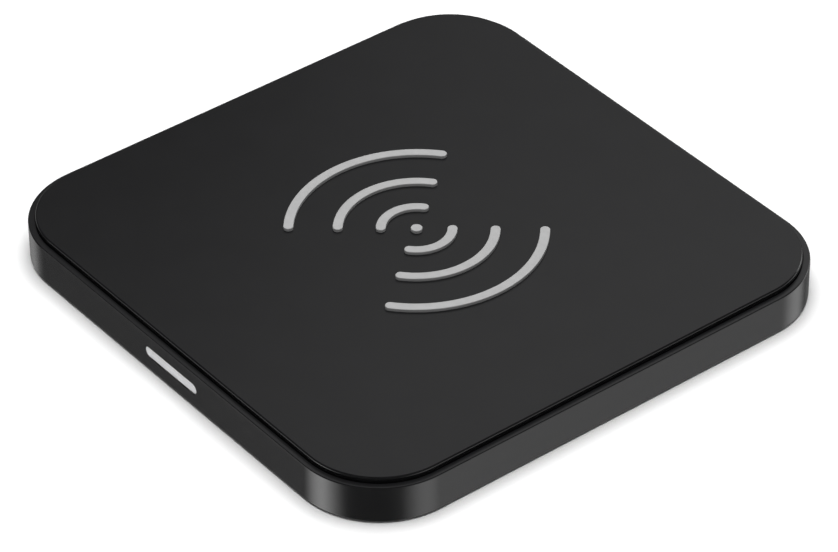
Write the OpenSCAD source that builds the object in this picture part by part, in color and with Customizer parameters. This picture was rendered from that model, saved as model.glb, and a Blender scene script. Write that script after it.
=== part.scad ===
// Square wireless charging pad: a moulded tub with a flat cover plate standing proud
// of its rim, raised anti-slip waves, a light window in front, a USB-C socket behind,
// and a transmitter coil on its board inside.
// Frame: origin on the surface it stands on, at the middle of the pad. +Z is up, the
// light window faces -Y and the power socket +Y. Millimetres.

/* [Case] */
// Width and depth of the pad
body_w = 90; // [86:1:120]
// Corner radius of the pad in plan
corner_r = 13.5; // [10:0.5:18]
// Height of the side wall
wall_h = 6.05; // [6:0.05:8]
// Thickness of the side wall below the cover
wall_t = 1.8; // [1.5:0.1:2.2]
// Thickness of the rim that stands round the cover
rim_t = 1.0; // [0.8:0.05:1.2]
// Thickness of the base
base_t = 1.2; // [1:0.05:1.3]
// Fillet on the outer edge of the rim
rim_fillet = 0.18; // [0.1:0.02:0.4]
// Fillet on the lower outer edge of the case
base_fillet = 0.15; // [0.1:0.05:0.6]

/* [Cover] */
// Thickness of the cover plate
cover_t = 1.5; // [1.2:0.05:1.6]
// Height of the cover's top face above the rim
cover_proud = 0.95; // [0.6:0.05:1.2]
// Gap between the cover's edge and the rim
cover_gap = 0.13; // [0.08:0.01:0.2]
// Fillet on the cover's top edge
cover_fillet = 0.3; // [0.1:0.05:0.5]
// Thickness of the locating skirt under the cover
skirt_t = 0.9; // [0.7:0.1:1.2]
// Depth of the locating skirt below the plate
skirt_h = 0.7; // [0.4:0.1:0.8]
// Gap between the skirt and the side wall
skirt_gap = 0.15; // [0.1:0.05:0.25]

/* [Anti-slip waves] */
// Centre-line radius of the inner pair of ribs
arc_inner_r = 5.3; // [4.5:0.05:6]
// Centre-line radius of the middle pair of ribs
arc_middle_r = 11.65; // [10:0.05:13]
// Centre-line radius of the outer pair of ribs
arc_outer_r = 18.95; // [17:0.05:24]
// Width of every rib
arc_w = 1.5; // [1.2:0.05:2.2]
// Angle from the middle of a rib to the centre of its round end
arc_half_angle = 50; // [35:1:60]
// Diameter of the centre dot
dot_d = 1.75; // [1.5:0.05:3]
// Height of the ribs and dot above the cover
grip_proud = 0.5; // [0.2:0.05:0.6]
// Depth that the ribs and dot are set into the cover
grip_depth = 0.4; // [0.3:0.05:0.6]
// Fillet along the ribs' top edges
grip_fillet = 0.12; // [0.06:0.01:0.25]
// Clearance round a rib in its groove
grip_clear = 0.02; // [0.01:0.01:0.05]

/* [Light window] */
// Width of the light window
window_w = 12.6; // [10:0.2:18]
// Height of the light window
window_h = 1.9; // [1.4:0.1:2.1]
// Height of the window's centre above the case's lower edge
window_rise = 3.08; // [3:0.02:3.14]
// Depth of the window's face behind the wall's face
window_recess = 0.15; // [0:0.01:0.3]
// Clearance round the window in the wall
window_clear = 0.08; // [0.03:0.01:0.1]
// Width that the retaining flange adds all round
flange_lip = 0.7; // [0.5:0.1:0.9]
// Thickness of the retaining flange
flange_t = 0.8; // [0.5:0.1:1.2]
// Width of the light guide behind the window
guide_w = 10; // [8:0.2:11]
// Height of the light guide
guide_h = 1.5; // [1.2:0.1:1.6]
// Gap between the light guide and the lights
guide_gap = 0.3; // [0.1:0.05:0.6]

/* [Feet and screws] */
// Distance from the case's side to a foot's centre
foot_inset = 9.5; // [8.5:0.1:10.5]
// Diameter of a foot
foot_d = 9; // [7:0.5:10]
// Height of a foot below the case
foot_proud = 0.3; // [0.3:0.05:1]
// Depth of the pocket that a foot sits in
foot_pocket = 0.5; // [0.3:0.05:0.6]
// Clearance round a foot in its pocket
foot_clear = 0.1; // [0.05:0.05:0.3]
// Fillet on a foot's lower edge
foot_fillet = 0.2; // [0.1:0.05:0.25]
// Diameter of the screws
screw_d = 2; // [1.6:0.1:2.2]
// Length of a screw below its head
screw_l = 3.2; // [2.4:0.1:3.4]
// Diameter of a screw's head
head_d = 3.4; // [3:0.1:3.8]
// Height of a screw's head
head_h = 1.0; // [0.8:0.05:1.1]
// Clearance round a screw's shank in the case
screw_clear = 0.15; // [0.1:0.05:0.3]
// Clearance round a screw's shank in the cover's boss
pilot_clear = 0.02; // [0.01:0.01:0.05]
// Clearance round and under a screw's head
head_clear = 0.2; // [0.1:0.05:0.3]
// Diameter of the case's screw pillars
pillar_d = 6; // [5.4:0.1:6.5]
// Thickness of a pillar above the screw's head
pillar_floor = 0.8; // [0.6:0.05:1]
// Diameter of the cover's screw bosses
boss_d = 5; // [4:0.1:5.5]
// Slot width of a screw's cross recess
cross_w = 0.5; // [0.4:0.05:0.6]
// Length of a screw's cross recess
cross_l = 2; // [1.6:0.1:2.2]
// Depth of a screw's cross recess
cross_depth = 0.6; // [0.4:0.05:0.7]

/* [USB-C socket] */
// Outer width of the shell
shell_w = 8.94; // [8.94]
// Outer height of the shell
shell_h = 3.16; // [3.16]
// Sheet thickness of the shell
shell_t = 0.25; // [0.2:0.05:0.3]
// Length of the shell
shell_l = 7.3; // [6.5:0.1:8]
// Width of the tongue
tongue_w = 6.69; // [6.69]
// Thickness of the tongue
tongue_t = 0.7; // [0.7]
// Distance from the shell's mouth to the tongue's tip
tongue_recess = 0.9; // [0.6:0.1:1.2]
// Thickness of the insulator's block at the back of the shell
insulator_l = 1.9; // [1.5:0.1:2.2]
// Number of contacts in a row
contact_n = 12; // [12]
// Spacing of the contacts
contact_pitch = 0.5; // [0.5]
// Width of a contact
contact_w = 0.25; // [0.2:0.01:0.3]
// Length of a contact
contact_l = 3.2; // [2.6:0.1:3.4]
// Thickness of a contact
contact_t = 0.05; // [0.03:0.01:0.08]
// Height of the socket's centre above the case's lower edge
port_rise = 3.1; // [3.05:0.05:3.2]
// Depth of the shell's mouth behind the wall's face
port_recess = 0.3; // [0.1:0.05:0.5]
// Clearance round the shell in the wall and the board
port_clear = 0.1; // [0.05:0.01:0.15]
// Width of a shell's soldering wing
wing_w = 1.1; // [0.8:0.1:1.5]
// Length of a shell's soldering wing
wing_l = 1.6; // [1.2:0.1:2]

/* [Circuit board] */
// Thickness of the board
board_t = 0.8; // [0.6:0.1:0.8]
// Distance of the board's top face below the socket's centre
board_drop = 0.25; // [0.2:0.05:0.3]
// Distance from the case's side to the board's edge
board_margin = 9; // [8.5:0.1:9.5]
// Corner radius of the board
board_r = 1.5; // [0.5:0.1:2]
// Width of the board's tongue towards the socket
board_tab_w = 40; // [36:1:44]
// Gap between the board's tongue and the back wall
board_tab_gap = 0.8; // [0.5:0.1:1.2]
// Clearance round a screw boss in the board
notch_clear = 0.6; // [0.4:0.1:0.8]
// Diameter of the board's support posts
post_d = 4; // [3:0.1:5]
// Distance of the support posts from the middle, along X
post_x = 30; // [28:0.5:31]
// Distance of the support posts from the middle, along Y
post_y = 20; // [16:0.5:22]
// Diameter of the locating pins on two of the posts
pin_d = 1.9; // [1.4:0.1:2.4]
// Height of the locating pins above the board
pin_proud = 0.4; // [0.2:0.1:0.8]
// Clearance round a locating pin in the board
pin_clear = 0.1; // [0.05:0.05:0.2]
// Thickness of the ribs on the base
rib_t = 1; // [0.8:0.1:1.2]
// Distance of the base ribs from the middle
rib_offset = 14; // [10:0.5:18]
// Length of the base ribs
rib_l = 52; // [40:1:54]

/* [Coil and shield] */
// Number of turns
turns = 10; // [8:1:10]
// Diameter of the litz wire
wire_d = 1.13; // [0.95:0.01:1.15]
// Gap between turns
turn_gap = 0.03; // [0.02:0.01:0.05]
// Inner diameter of the winding
coil_id = 20.5; // [19:0.5:22]
// Side of the square ferrite plate
shield_w = 50; // [48:0.5:51]
// Thickness of the ferrite plate
shield_t = 1.2; // [1.18:0.01:1.25]
// Corner radius of the ferrite plate
shield_r = 3; // [1:0.5:5]
// Diameter of the hole in the ferrite plate
shield_hole_d = 6; // [4:0.5:8]
// Thickness of the tape under the ferrite plate
tape_t = 0.1; // [0.05:0.01:0.15]
// Thickness of the adhesive film under the coil
film_t = 0.08; // [0.05:0.01:0.1]
// Clearance round the inner lead in its slot, and of the leads above the board
lead_clear = 0.02; // [0.01:0.01:0.05]
// Length of each lead past the ferrite plate
lead_over = 2.9; // [2.5:0.1:3.5]
// Bend radius of the outer lead
lead_bend = 0.9; // [0.8:0.05:1]
// Diameter of the temperature sensor's bead
bead_d = 1.8; // [1.4:0.1:2]
// Diameter of the temperature sensor's legs
leg_d = 0.3; // [0.2:0.05:0.4]
// Height of the bead's centre above the board
bead_rise = 1.6; // [1.3:0.1:1.7]

/* [Board parts] */
// Side of the controller chip
chip_w = 5; // [4:0.5:6]
// Height of the controller chip
chip_h = 0.85; // [0.7:0.05:1]
// Side of a bridge transistor
fet_w = 3.3; // [3:0.1:3.5]
// Height of a bridge transistor
fet_h = 0.9; // [0.7:0.05:1]
// Spacing of the bridge transistors
fet_pitch = 4.4; // [4:0.1:4.6]
// Length of a resonance capacitor
rescap_l = 3.2; // [3:0.1:3.3]
// Width of a resonance capacitor
rescap_w = 2.5; // [2.3:0.1:2.6]
// Height of a resonance capacitor
rescap_h = 1.8; // [1.2:0.1:2]
// Spacing of the resonance capacitors
rescap_pitch = 3.4; // [3.3:0.05:3.6]
// Length of the input capacitors and the sense resistor
chip_part_l = 3.2; // [3:0.1:3.3]
// Width of the input capacitors and the sense resistor
chip_part_w = 1.6; // [1.5:0.05:1.7]
// Height of an input capacitor
incap_h = 1.4; // [1:0.1:1.6]
// Spacing of the input capacitors
incap_pitch = 2.1; // [2:0.1:2.3]
// Height of the sense resistor
sense_h = 0.6; // [0.5:0.05:0.7]
// Body length of the regulator
reg_l = 2.9; // [2.8:0.1:3]
// Body width of the regulator
reg_w = 1.6; // [1.5:0.1:1.7]
// Height of the regulator
reg_h = 1.1; // [1:0.05:1.2]
// Side of the inductor
ind_w = 4; // [3:0.1:4.4]
// Height of the inductor
ind_h = 1.8; // [1.2:0.1:2]
// Corner radius of the inductor
ind_r = 0.8; // [0.3:0.1:1]
// Length of a small chip part
passive_l = 1.6; // [1.5:0.1:1.7]
// Width of a small chip part
passive_w = 0.8; // [0.7:0.05:0.9]
// Height of a small chip part
passive_h = 0.5; // [0.4:0.05:0.8]
// Spacing of the small chip parts in a row
passive_pitch = 2.4; // [2:0.1:2.6]
// Number of small chip parts in a row
passive_n = 5; // [2:1:5]
// Width of a status light
led_w = 2.4; // [2:0.1:3]
// Depth of a status light
led_l = 1; // [0.8:0.1:1.4]
// Height of a status light
led_h = 1; // [0.8:0.05:1.2]
// Distance between the status lights' centres
led_pitch = 5; // [3.5:0.1:6]

/* [Hidden] */
$fn = 96;

// A cut runs past the face it breaks through by this much.
over = 1;

// Plan
half = body_w / 2;
cover_half = half - rim_t - cover_gap;
cover_r = corner_r - rim_t - cover_gap;
cover_edge = wall_t + skirt_gap + skirt_t;
inside = half - wall_t;
inside_r = corner_r - wall_t;
skirt_half = inside - skirt_gap;
skirt_r = inside_r - skirt_gap;
foot_at = half - foot_inset;
board_half = half - board_margin;
board_back = inside - board_tab_gap;
shield_half = shield_w / 2;

// Socket, along Y
shell_mouth = half - port_recess;
shell_back = shell_mouth - shell_l;

// Rows of parts along the back of the board, and the groups' places along X
row_gap = 3.2;
row_near = shield_half + row_gap;
row_far = row_near + fet_pitch;
chip_at = -9;
fet_at = 8;
rescap_at = 26.6;
reg_at = -17.2;
incap_at = 12;
sense_at = 3.6;

// Heights
case_z = foot_proud;
base_top = case_z + base_t;
rim_z = case_z + wall_h;
cover_top = rim_z + cover_proud;
cover_z = cover_top - cover_t;
pocket_z = case_z + foot_pocket;
head_seat = pocket_z + head_clear + head_h;
pillar_top = head_seat + pillar_floor;
pilot_top = head_seat + screw_l + head_clear;
window_z = case_z + window_rise;
port_z = case_z + port_rise;
board_top = port_z - board_drop;
board_z = board_top - board_t;
shield_z = board_top + tape_t;
film_z = shield_z + shield_t;
wire_z = film_z + film_t + wire_d / 2;

// Coil: half turns about two centres, half a pitch apart, make one even spiral
pitch = wire_d + turn_gap;
turn_r = coil_id / 2 + wire_d / 2;
coil_or = turn_r + turns * pitch;
inner_lead_z = board_top + lead_clear + wire_d / 2;
drop_r = (wire_z - inner_lead_z) / 2;
lead_slot_w = wire_d + 2 * lead_clear;
lead_slot_start = turn_r - lead_slot_w / 2;

// ---- Shapes that several pieces share ----

// A square with round corners, centred
module round_square(h, r) {
    square([2 * h, 2 * (h - r)], center = true);
    square([2 * (h - r), 2 * h], center = true);
    for (x = [-1, 1], y = [-1, 1])
        translate([x * (h - r), y * (h - r)])
            circle(r);
}

// A bar with full round ends, centred
module pill(w, h) {
    square([w - h, h], center = true);
    for (x = [-1, 1])
        translate([x * (w - h) / 2, 0])
            circle(d = h);
}

// Sweeps a section round a square with round corners. The section's x is its distance
// from the corner's centre, and its y is the height.
module sweep_square(h, r) {
    for (a = [0:90:270])
        rotate([0, 0, a]) {
            translate([h - r, h - r, 0])
                rotate_extrude(angle = 90)
                    children();
            translate([h - r, h - r, 0])
                rotate([90, 0, 0])
                    linear_extrude(2 * (h - r))
                        children();
        }
}

// What a fillet of radius f takes off a corner that points along +x and +y
module fillet_cut(f) {
    difference() {
        translate([-f, -f])
            square(f + over);
        translate([-f, -f])
            circle(f);
        translate([-f - over, -f - over])
            square([over, 2 * over + f]);
        translate([-f - over, -f - over])
            square([2 * over + f, over]);
    }
}

// A pair of opposite arcs with round ends, on a circle of radius r. The child is half of
// the arcs' section, from its middle outwards.
module arc_pair(r) {
    for (side = [0, 180])
        rotate([0, 0, side]) {
            rotate([0, 0, -arc_half_angle])
                rotate_extrude(angle = 2 * arc_half_angle)
                    translate([r, 0]) {
                        children();
                        mirror([1, 0])
                            children();
                    }
            for (s = [-1, 1])
                rotate([0, 0, s * arc_half_angle])
                    translate([r, 0, 0])
                        rotate([0, 0, s > 0 ? 0 : 180])
                            rotate_extrude(angle = 180)
                                children();
        }
}

// Half of a rib's section, or the dot's
module grip_half_section(w) {
    difference() {
        translate([0, cover_top - grip_depth])
            square([w / 2, grip_depth + grip_proud]);
        translate([w / 2, cover_top + grip_proud])
            fillet_cut(grip_fillet);
    }
}

// Puts children at the four feet
module at_feet() {
    for (x = [-1, 1], y = [-1, 1])
        translate([x * foot_at, y * foot_at, 0])
            children();
}

// A bar along Y with a flat section, from y = near to y = far, at height z
module bar_y(near, far, z) {
    translate([0, far, z])
        rotate([90, 0, 0])
            linear_extrude(far - near)
                children();
}

// A block on the board, centred on x and y
module on_board(x, y, size) {
    translate([x - size[0] / 2, y - size[1] / 2, board_top])
        cube(size);
}

// ---- Case ----

// Section of the side wall, measured from the corner's centre
module wall_section() {
    difference() {
        union() {
            translate([inside_r, case_z])
                square([wall_t, cover_z - case_z]);
            translate([corner_r - rim_t, cover_z - over])
                square([rim_t, rim_z - cover_z + over]);
        }
        translate([corner_r, rim_z])
            fillet_cut(rim_fillet);
        translate([corner_r, case_z])
            mirror([0, 1])
                fillet_cut(base_fillet);
    }
}

module bottom_case() {
    color("#2b2b2d")
        difference() {
            union() {
                sweep_square(half, corner_r)
                    wall_section();
                translate([0, 0, case_z])
                    linear_extrude(base_t)
                        round_square(inside, inside_r);
                at_feet()
                    translate([0, 0, base_top])
                        cylinder(d = pillar_d, h = pillar_top - base_top);
                board_supports();
            }
            at_feet()
                foot_and_screw_holes();
            bar_y(-half - over, -inside + over, window_z)
                pill(window_w, window_h);
            bar_y(inside - over, half + over, port_z)
                pill(shell_w + 2 * port_clear, shell_h + 2 * port_clear);
        }
}

// Posts, locating pins and ribs that carry the board
module board_supports() {
    for (x = [-1, 1], y = [-1, 1])
        translate([x * post_x, y * post_y, base_top]) {
            cylinder(d = post_d, h = board_z - base_top);
            if (x == y)
                cylinder(d = pin_d, h = board_top + pin_proud - base_top);
        }
    for (s = [-1, 1]) {
        translate([-rib_l / 2, s * rib_offset - rib_t / 2, base_top])
            cube([rib_l, rib_t, board_z - base_top]);
        translate([s * rib_offset - rib_t / 2, -rib_l / 2, base_top])
            cube([rib_t, rib_l, board_z - base_top]);
    }
}

// Foot pocket, head recess and clearance hole under one pillar
module foot_and_screw_holes() {
    translate([0, 0, case_z - over])
        cylinder(d = foot_d + 2 * foot_clear, h = foot_pocket + over);
    translate([0, 0, case_z])
        cylinder(d = head_d + 2 * head_clear, h = head_seat - case_z);
    translate([0, 0, case_z])
        cylinder(d = screw_d + 2 * screw_clear, h = pillar_top - case_z + over);
}

// ---- Cover ----

module top_cover() {
    color("#303032")
        difference() {
            union() {
                sweep_square(cover_half, cover_r)
                    difference() {
                        translate([cover_r - cover_edge, cover_z])
                            square([cover_edge, cover_t]);
                        translate([cover_r, cover_top])
                            fillet_cut(cover_fillet);
                    }
                translate([0, 0, cover_z])
                    linear_extrude(cover_t)
                        round_square(cover_half - cover_edge, cover_r - cover_edge);
                sweep_square(skirt_half, skirt_r)
                    translate([skirt_r - skirt_t, cover_z - skirt_h])
                        square([skirt_t, skirt_h]);
                at_feet()
                    translate([0, 0, pillar_top])
                        cylinder(d = boss_d, h = cover_z - pillar_top);
            }
            at_feet()
                translate([0, 0, pillar_top - over])
                    cylinder(d = screw_d + 2 * pilot_clear, h = pilot_top - pillar_top + over);
            for (r = [arc_inner_r, arc_middle_r, arc_outer_r])
                arc_pair(r)
                    translate([0, cover_top - grip_depth])
                        square([arc_w / 2 + grip_clear, grip_depth + over]);
            translate([0, 0, cover_top - grip_depth])
                cylinder(d = dot_d + 2 * grip_clear, h = grip_depth + over);
        }
}

// ---- Anti-slip waves ----

module grip_arc_inner() {
    color("#b9babb")
        arc_pair(arc_inner_r)
            grip_half_section(arc_w);
}

module grip_arc_middle() {
    color("#b9babb")
        arc_pair(arc_middle_r)
            grip_half_section(arc_w);
}

module grip_arc_outer() {
    color("#b9babb")
        arc_pair(arc_outer_r)
            grip_half_section(arc_w);
}

module grip_dot() {
    color("#b9babb")
        rotate_extrude()
            grip_half_section(dot_d);
}

// ---- Light window ----

module led_window() {
    guide_far = -(board_half + guide_gap);
    color("#d8d9da") {
        bar_y(-half + window_recess, -inside, window_z)
            pill(window_w - 2 * window_clear, window_h - 2 * window_clear);
        bar_y(-inside, -inside + flange_t, window_z)
            pill(window_w + 2 * flange_lip, window_h + 2 * flange_lip);
        bar_y(-inside + flange_t, guide_far, window_z)
            square([guide_w, guide_h], center = true);
    }
}

// ---- Feet and screws ----

module foot_pads() {
    color("#1c1c1d")
        at_feet()
            rotate_extrude()
                difference() {
                    square([foot_d / 2, foot_proud + foot_pocket]);
                    translate([foot_d / 2, 0])
                        mirror([0, 1])
                            fillet_cut(foot_fillet);
                }
}

module case_screws() {
    color("#8f9296")
        at_feet()
            difference() {
                union() {
                    translate([0, 0, head_seat - head_h])
                        cylinder(d = head_d, h = head_h);
                    translate([0, 0, head_seat])
                        cylinder(d = screw_d, h = screw_l);
                }
                for (a = [0, 90])
                    rotate([0, 0, a])
                        translate([-cross_l / 2, -cross_w / 2, head_seat - head_h - over])
                            cube([cross_l, cross_w, cross_depth + over]);
            }
}

// ---- USB-C socket ----

module usb_c_shell() {
    color("#c2c5c9")
        difference() {
            union() {
                bar_y(shell_back, shell_mouth, port_z)
                    pill(shell_w, shell_h);
                translate([-shell_w / 2 - wing_w, shell_back + (shell_l - wing_l) / 2, board_top])
                    cube([shell_w + 2 * wing_w, wing_l, shell_t]);
            }
            bar_y(shell_back - over, shell_mouth + over, port_z)
                pill(shell_w - 2 * shell_t, shell_h - 2 * shell_t);
        }
}

module usb_c_insulator() {
    color("#19191a") {
        bar_y(shell_back, shell_back + insulator_l, port_z)
            pill(shell_w - 2 * shell_t, shell_h - 2 * shell_t);
        bar_y(shell_back + insulator_l, shell_mouth - tongue_recess, port_z)
            square([tongue_w, tongue_t], center = true);
    }
}

module usb_c_contacts() {
    color("#d6b25c")
        for (side = [0, 180], i = [0:contact_n - 1])
            translate([(i - (contact_n - 1) / 2) * contact_pitch, shell_back + insulator_l, port_z])
                rotate([0, side, 0])
                    translate([-contact_w / 2, 0, tongue_t / 2])
                        cube([contact_w, contact_l, contact_t]);
}

// ---- Circuit board ----

module main_board() {
    color("#1f5b3a")
        translate([0, 0, board_z])
            linear_extrude(board_t)
                difference() {
                    union() {
                        round_square(board_half, board_r);
                        translate([-board_tab_w / 2, 0])
                            square([board_tab_w, board_back]);
                    }
                    for (x = [-1, 1], y = [-1, 1])
                        translate([x * foot_at, y * foot_at])
                            circle(d = pillar_d + 2 * notch_clear);
                    for (s = [-1, 1])
                        translate([s * post_x, s * post_y])
                            circle(d = pin_d + 2 * pin_clear);
                    translate([-shell_w / 2 - port_clear, shell_back - port_clear])
                        square([shell_w + 2 * port_clear, shell_l]);
                }
}

module status_leds() {
    color("#e6e2c8")
        for (s = [-1, 1])
            on_board(s * led_pitch / 2, -board_half + led_l / 2, [led_w, led_l, led_h]);
}

// ---- Coil and shield ----

// The inner lead's slot, from the winding's start to past the plate's edge
module lead_slot() {
    translate([lead_slot_start, -drop_r - lead_slot_w / 2])
        square([shield_half - lead_slot_start + over, drop_r + lead_slot_w]);
}

module wire_section() {
    circle(d = wire_d);
}

module coil_winding() {
    lead_end = shield_half + lead_over;
    color("#b5652b") {
        for (k = [0:turns - 1]) {
            translate([0, 0, wire_z])
                rotate_extrude(angle = 180)
                    translate([turn_r + k * pitch, 0])
                        wire_section();
            translate([pitch / 2, 0, wire_z])
                rotate([0, 0, 180])
                    rotate_extrude(angle = 180)
                        translate([turn_r + (k + 0.5) * pitch, 0])
                            wire_section();
        }
        // outer lead: straight off the last turn, then down to the board
        translate([coil_or, 0, wire_z])
            rotate([-90, 0, 0])
                cylinder(d = wire_d, h = lead_end - lead_bend);
        translate([coil_or, lead_end - lead_bend, wire_z - lead_bend])
            rotate([90, 0, 90])
                rotate_extrude(angle = 90)
                    translate([lead_bend, 0])
                        wire_section();
        translate([coil_or, lead_end, board_top + lead_clear])
            cylinder(d = wire_d, h = wire_z - lead_bend - board_top - lead_clear);
        // inner lead: down into its slot, then out under the winding
        translate([turn_r, 0, wire_z - drop_r])
            rotate([90, 0, -90])
                rotate_extrude(angle = 90)
                    translate([drop_r, 0])
                        wire_section();
        translate([turn_r + drop_r, -drop_r, wire_z - drop_r])
            rotate([90, 0, 0])
                rotate([0, 0, 180])
                    rotate_extrude(angle = 90)
                        translate([drop_r, 0])
                            wire_section();
        translate([turn_r + drop_r, -drop_r, inner_lead_z])
            rotate([0, 90, 0])
                cylinder(d = wire_d, h = lead_end - turn_r - drop_r);
    }
}

module coil_film() {
    color("#e9e4d4")
        translate([0, 0, film_z])
            linear_extrude(film_t)
                difference() {
                    translate([pitch / 2, 0])
                        circle(coil_or);
                    circle(d = coil_id);
                    lead_slot();
                }
}

module ferrite_shield() {
    color("#3a3a3c")
        translate([0, 0, shield_z])
            linear_extrude(shield_t)
                shield_shape();
}

module shield_tape() {
    color("#d9c98a")
        translate([0, 0, board_top])
            linear_extrude(tape_t)
                shield_shape();
}

module shield_shape() {
    difference() {
        round_square(shield_half, shield_r);
        circle(d = shield_hole_d);
        lead_slot();
    }
}

module thermistor() {
    color("#7a3b20") {
        translate([0, 0, board_top + bead_rise])
            sphere(d = bead_d);
        for (s = [-1, 1])
            translate([s * bead_d / 4, 0, board_top])
                cylinder(d = leg_d, h = bead_rise);
    }
}

// ---- Board parts ----

module controller_chip() {
    color("#202022")
        on_board(chip_at, row_near + fet_pitch / 2, [chip_w, chip_w, chip_h]);
}

module bridge_mosfets() {
    color("#242426")
        for (i = [0, 1], y = [row_near, row_far])
            on_board(fet_at + i * fet_pitch, y, [fet_w, fet_w, fet_h]);
}

module resonance_capacitors() {
    color("#b89a70")
        for (i = [0, 1], j = [0, 1])
            on_board(
                rescap_at + i * rescap_pitch,
                row_near + j * rescap_pitch,
                [rescap_w, rescap_l, rescap_h]
            );
}

module input_capacitors() {
    color("#a88a62")
        for (i = [0:2])
            on_board(
                incap_at + i * incap_pitch,
                board_back - chip_part_l,
                [chip_part_w, chip_part_l, incap_h]
            );
}

module buck_regulator() {
    color("#222224")
        on_board(reg_at, row_far, [reg_l, reg_w, reg_h]);
}

module buck_inductor() {
    color("#4a4b4e")
        translate([reg_at, row_near, board_top])
            linear_extrude(ind_h)
                round_square(ind_w / 2, ind_r);
}

module sense_resistor() {
    color("#1a1a1c")
        on_board(sense_at, row_near + fet_pitch / 2, [chip_part_w, chip_part_l, sense_h]);
}

module chip_passives() {
    color("#8d7351")
        for (i = [0:passive_n - 1])
            on_board(
                reg_at + i * passive_pitch,
                board_back - passive_w - chip_part_w,
                [passive_w, passive_l, passive_h]
            );
}

// ---- Which piece to draw ----

bottom_case();
top_cover();
grip_arc_inner();
grip_arc_middle();
grip_arc_outer();
grip_dot();
led_window();
foot_pads();
case_screws();
usb_c_shell();
usb_c_insulator();
usb_c_contacts();
main_board();
status_leds();
coil_winding();
coil_film();
ferrite_shield();
shield_tape();
thermistor();
controller_chip();
bridge_mosfets();
resonance_capacitors();
input_capacitors();
buck_regulator();
buck_inductor();
sense_resistor();
chip_passives();
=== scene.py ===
# Square wireless charging pad, set up on a pale table in a small studio.
# Sections follow the pad as it is put together. Lengths are in metres, written as so
# many MM, and the pieces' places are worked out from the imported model's boxes.
import math
import bmesh
import bpy
from mathutils import Matrix, Vector


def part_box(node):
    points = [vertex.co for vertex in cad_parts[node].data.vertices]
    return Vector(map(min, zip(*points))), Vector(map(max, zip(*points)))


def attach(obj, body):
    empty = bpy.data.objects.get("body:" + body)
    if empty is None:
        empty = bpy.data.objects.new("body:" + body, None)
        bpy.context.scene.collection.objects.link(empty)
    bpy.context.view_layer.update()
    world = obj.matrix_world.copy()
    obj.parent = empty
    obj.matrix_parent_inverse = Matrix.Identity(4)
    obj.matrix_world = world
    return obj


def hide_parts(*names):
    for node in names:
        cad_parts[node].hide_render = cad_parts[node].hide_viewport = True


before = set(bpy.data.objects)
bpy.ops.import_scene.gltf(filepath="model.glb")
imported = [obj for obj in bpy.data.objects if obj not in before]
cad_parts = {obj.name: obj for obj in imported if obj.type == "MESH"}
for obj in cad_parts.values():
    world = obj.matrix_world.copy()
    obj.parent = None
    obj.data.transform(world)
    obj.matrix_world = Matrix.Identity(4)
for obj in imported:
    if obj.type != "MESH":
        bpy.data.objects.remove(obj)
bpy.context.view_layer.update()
MM = 0.001


# ---- Table, lights and camera ----
# The pad lies on a matt table under an overhead softbox, seen from above its front right
# corner. Its polished walls mirror cards that reach from below up to the horizon, so the
# table and the overhead and front softboxes are kept out of reflections.

def linear(code):
    """An sRGB hex colour as the linear colour that shaders work in."""
    parts = [int(code[i:i + 2], 16) / 255 for i in (1, 3, 5)]
    return tuple(c / 12.92 if c <= 0.04045 else ((c + 0.055) / 1.055) ** 2.4 for c in parts) + (1.0,)


def add(tree, kind, sockets=None, **settings):
    """A new node with its settings. A socket's value is a number, a colour or another node's output."""
    made = tree.nodes.new(kind)
    for name, value in settings.items():
        setattr(made, name, value)
    for name, value in (sockets or {}).items():
        if isinstance(value, bpy.types.NodeSocket):
            tree.links.new(value, made.inputs[name])
        else:
            made.inputs[name].default_value = value
    return made


def ramp(tree, factor, stops, blend="EASE"):
    """A colour ramp through (place, grey level) or (place, colour) stops."""
    made = add(tree, "ShaderNodeValToRGB", {"Fac": factor})
    made.color_ramp.interpolation = blend
    elements = made.color_ramp.elements
    elements[0].position, elements[1].position = stops[0][0], stops[-1][0]
    for place, _ in stops[1:-1]:
        elements.new(place)
    for element, (_, shade) in zip(elements, stops):
        element.color = shade if isinstance(shade, tuple) else (shade, shade, shade, 1.0)
    return made.outputs["Color"]


TABLE_SIZE = 6.0
TABLE_GAP = 0.02 * MM
TABLE_SHADE = "#F4F4F4"
TABLE_ROUGHNESS = 0.9
TOP_BOX = 0.7
TOP_HEIGHT = 0.9
TOP_POWER = 10.6
SIDE_BOX = (0.32, 0.26)
BACK_POWER = 0.085
BACK_DISTANCE = 0.38
BACK_SHIFT = 0.12
SIDE_POWER = 0.042
SIDE_DISTANCE = 0.40
SIDE_SHIFT = 0.22
HIGH_POWER = 0.104
HIGH_DISTANCE = 0.38
HIGH_DROP = math.radians(22)
GLINT_BOX = (0.25, 0.12)
GLINT_POWER = 0.5
GLINT_PLACE = (0.02, 0.57, 0.18)
FRONT_BOX = (0.5, 0.3)
FRONT_POWER = 0.4
FRONT_DISTANCE = 0.6
FRONT_RISE = math.radians(-14)
SKY_STRENGTH = 3.0
FILL = 0.05
CARD_SPAN = 360.0
# Brightness of the cards round the table, by compass angle from +X, anticlockwise
CARDS = [
    (-180, 0.7), (-170, 0.7), (-160, 0.32), (-150, 0.13), (-143, 0.15), (-136, 0.6), (-122, 2.5), (-112, 3.5),
    (-102, 2.35), (-92, 1.2), (-82, 0.25), (-72, 0.13), (-28, 0.13), (-12, 0.26), (-2, 0.93), (10, 1.7),
    (20, 1.75), (30, 1.45), (38, 0.85), (50, 0.65), (60, 1.25), (70, 1.45), (80, 1.25), (90, 0.62),
    (100, 0.12), (112, 0.2), (150, 0.25), (168, 0.4), (180, 0.7),
]
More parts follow.
